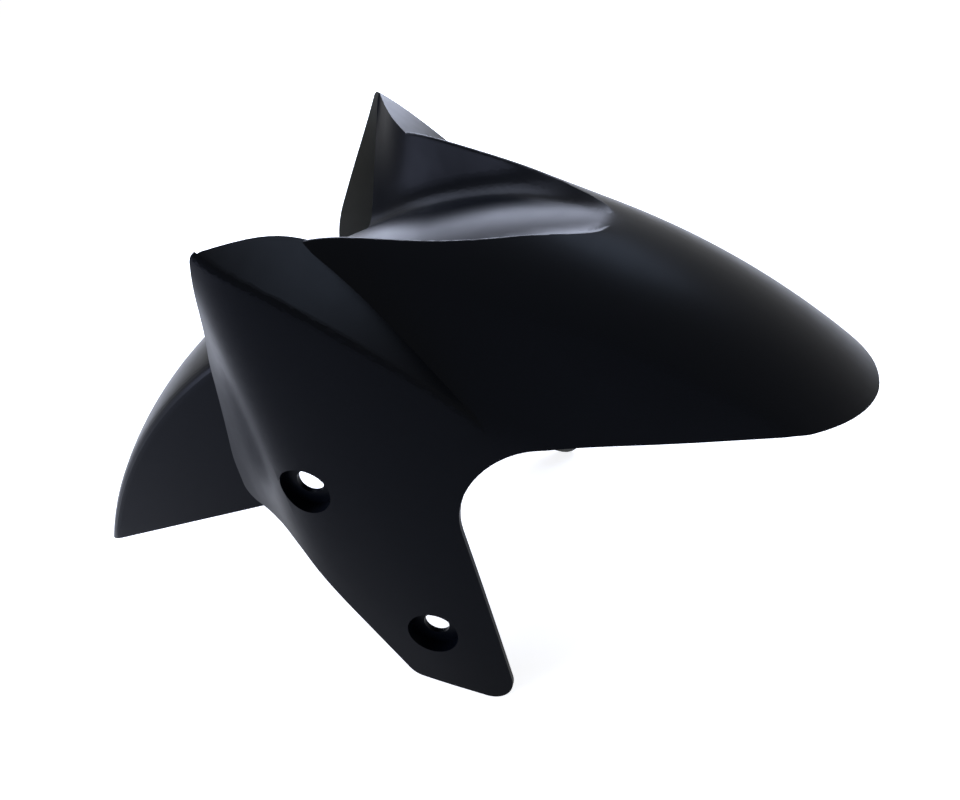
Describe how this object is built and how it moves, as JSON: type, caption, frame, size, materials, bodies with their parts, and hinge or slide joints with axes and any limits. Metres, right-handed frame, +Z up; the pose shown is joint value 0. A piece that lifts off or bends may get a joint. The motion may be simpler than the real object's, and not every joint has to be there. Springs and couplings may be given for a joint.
{
  "type": "motorcycle front mudguard",
  "caption": "One-piece moulded scooter front mudguard: pointed nose, open scoop behind the crown, raised wings, fork covers with bolt pockets, and a curved tail between the fork legs.",
  "frame": {"origin": "under the middle of the bounding box, at the height of the lowest point, the foot of the legs", "axes": "+X forward along the wheel, +Y to the rider's left, +Z up, as mounted on the motorcycle"},
  "size_m": [0.488, 0.2338, 0.28],
  "materials": {
    "moulded_plastic": "satin black outside, bare grained plastic inside and on the tail"
  },
  "bodies": {
    "root": {"front_mudguard": "moulded_plastic"}
  },
  "joints": []
}
